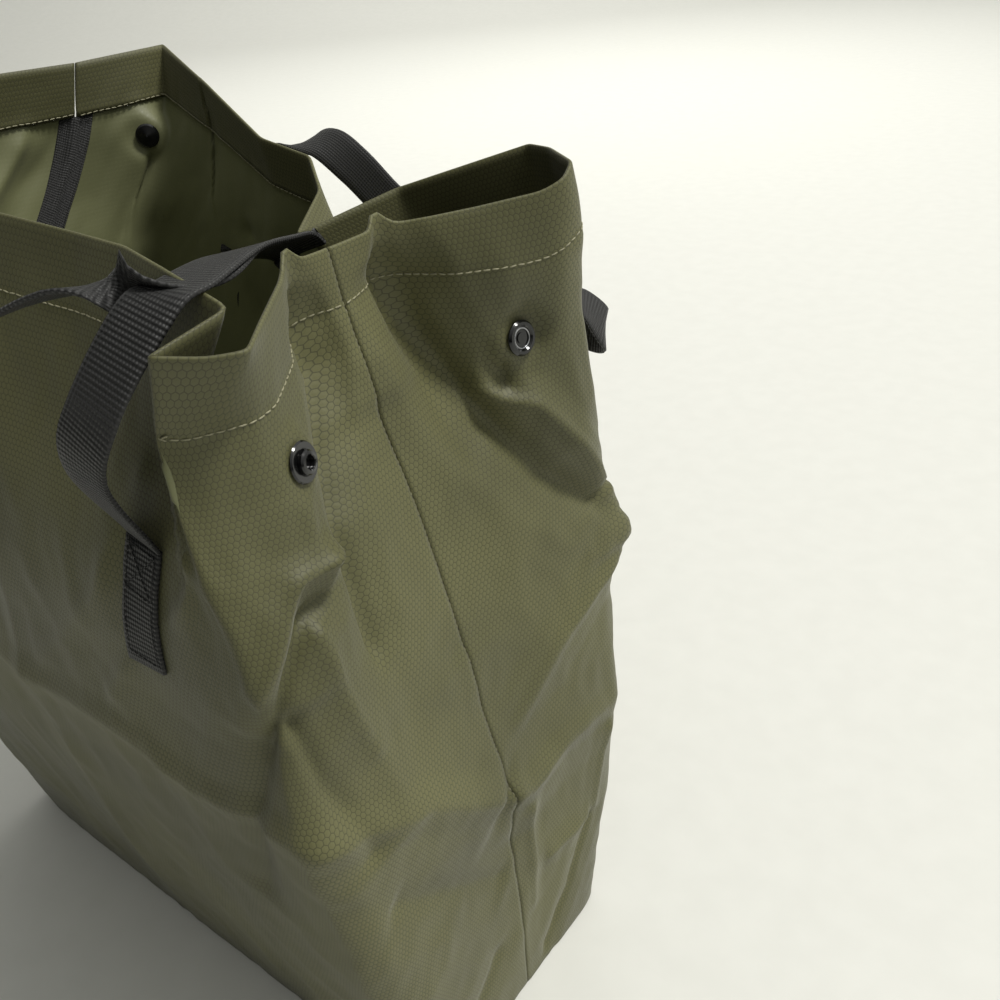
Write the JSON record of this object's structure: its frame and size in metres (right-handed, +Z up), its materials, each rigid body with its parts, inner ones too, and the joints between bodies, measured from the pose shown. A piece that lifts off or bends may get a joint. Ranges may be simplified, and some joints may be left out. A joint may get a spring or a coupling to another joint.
{
  "type": "rope storage bag",
  "caption": "Open-topped upright rope bag in coated honeycomb cloth with gusset snaps and swinging webbing handles.",
  "frame": {"origin": "centre of the base's underside, on the surface the bag stands on", "axes": "+X towards the right gusset, -Y the front wide face, +Z up through the mouth"},
  "size_m": [0.4022, 0.3197, 0.508],
  "materials": {
    "cloth": "coated honeycomb weave, satin outside, matter inside",
    "binding": "woven tape",
    "webbing": "ribbed webbing",
    "snap_metal": "black gloss",
    "spring_steel": "drawn wire",
    "thread": "twisted thread"
  },
  "bodies": {
    "bag": {"base_panel": "cloth", "front_panel": "cloth", "back_panel": "cloth", "right_seam_tape": "binding", "left_seam_tape": "binding", "right_socket": "snap_metal", "right_socket_spring": "spring_steel", "right_socket_cap": "snap_metal", "right_stud": "snap_metal", "right_stud_cap": "snap_metal", "left_socket": "snap_metal", "left_socket_spring": "spring_steel", "left_socket_cap": "snap_metal", "left_stud": "snap_metal", "left_stud_cap": "snap_metal", "front_right_leg": "webbing", "front_left_leg": "webbing", "back_right_leg": "webbing", "back_left_leg": "webbing"},
    "front_handle": {"front_handle": "webbing"},
    "back_handle": {"back_handle": "webbing"}
  },
  "joints": [
    {"name": "front_handle_swing", "type": "hinge", "parent": "bag", "child": "front_handle", "pos_m": [0, -0.11459, 0.365], "axis": [0.9983, -0.0587, 0], "range_deg": [0, 130]},
    {"name": "back_handle_swing", "type": "hinge", "parent": "bag", "child": "back_handle", "pos_m": [0, 0.13663, 0.365], "axis": [-0.9983, 0.0587, 0], "range_deg": [0, 108]}
  ]
}
